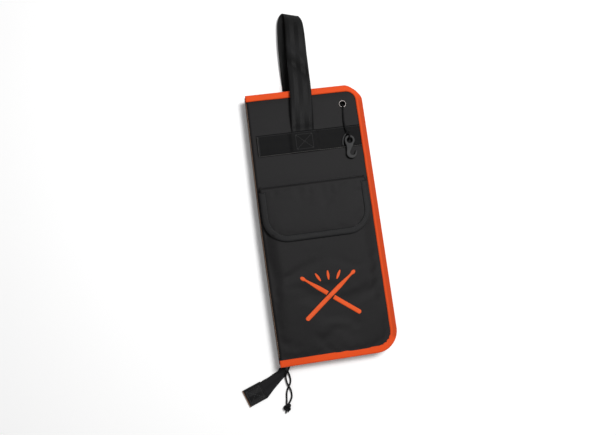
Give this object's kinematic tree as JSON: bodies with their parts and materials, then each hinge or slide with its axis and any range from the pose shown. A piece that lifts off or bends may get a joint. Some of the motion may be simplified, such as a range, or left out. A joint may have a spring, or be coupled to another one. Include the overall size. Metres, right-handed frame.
{
  "type": "drum stick bag",
  "caption": "Padded fold-open stick bag with zipped sides, webbing carrying handle, flapped front pocket, inner stick compartments and a hanging cord with hook.",
  "frame": {"origin": "centre of the flat back panel's outer face, midway along the closed bag and across its front half; the bag lies on this face", "axes": "+X towards the zipped long side (spine at -X), +Y towards the carrying handle, +Z out of the front face with the pocket"},
  "size_m": [0.2775, 0.691, 0.0463],
  "materials": {
    "shell_nylon": "matte plain-weave black nylon",
    "lining": "thin black lining cloth",
    "foam": "closed-cell padding foam, treated as a light textile",
    "webbing": "woven black webbing, slight sheen",
    "black_tape": "black grosgrain edge tape",
    "orange_binding": "orange grosgrain edge tape",
    "emblem_print": "orange stitched or printed mark",
    "zip_tape": "black zip tape with nylon coil",
    "hook_and_loop": "black hook-and-loop tape",
    "cord": "braided black cord",
    "hook_plastic": "moulded dark grey plastic",
    "nickel": "nickel-plated eyelet",
    "zip_metal": "black-painted zinc slider"
  },
  "bodies": {
    "back_half": {"back_shell": "shell_nylon", "back_foam": "foam", "back_lining": "lining", "back_binding": "orange_binding", "back_stringer": "zip_tape", "spine_gusset": "shell_nylon", "zipper_tail": "zip_tape", "tail_tab": "webbing", "handle_strap": "webbing", "stick_sleeve": "lining", "sleeve_binding": "orange_binding"},
    "front_half": {"front_shell": "shell_nylon", "front_foam": "foam", "front_lining": "lining", "front_binding": "orange_binding", "front_stringer": "zip_tape", "front_band": "webbing", "pocket_panel": "shell_nylon", "pocket_hook_strip": "hook_and_loop", "emblem": "emblem_print", "grommet": "nickel", "grommet_washer": "nickel", "hang_cord_knot": "cord", "inner_pocket": "lining", "inner_pocket_binding": "orange_binding"},
    "pocket_flap": {"flap_panel": "shell_nylon", "flap_binding": "black_tape", "flap_loop_strip": "hook_and_loop"},
    "hook_carrier": {"hang_cord": "cord", "hook_loop": "cord", "hang_hook": "hook_plastic"},
    "zip_slider": {"slider_body": "zip_metal"},
    "zip_pull": {"pull_tab": "zip_metal", "pull_cord_a": "cord", "pull_cord_b": "cord", "pull_knot": "cord"}
  },
  "joints": [
    {"name": "cover_fold", "type": "hinge", "parent": "back_half", "child": "front_half", "pos_m": [-0.1025, 0, 0.0234], "axis": [0, -1, 0], "range_deg": [0, 178], "deforming": ["spine_gusset", "handle_strap"]},
    {"name": "flap_lift", "type": "hinge", "parent": "front_half", "child": "pocket_flap", "pos_m": [0, 0.071, 0.034], "axis": [-1, 0, 0], "range_deg": [0, 130]},
    {"name": "hook_swing", "type": "hinge", "parent": "front_half", "child": "hook_carrier", "pos_m": [0.0659, 0.2012, 0.0354], "axis": [-1, 0, 0], "range_deg": [0, 170]},
    {"name": "zip_slide", "type": "slide", "parent": "back_half", "child": "zip_slider", "axis": [1, 0, 0], "range_m": [0, 0.15]},
    {"name": "pull_swing", "type": "hinge", "parent": "zip_slider", "child": "zip_pull", "pos_m": [-0.092, -0.2356, 0.017], "axis": [-1, 0, 0], "range_deg": [0, 115]}
  ]
}
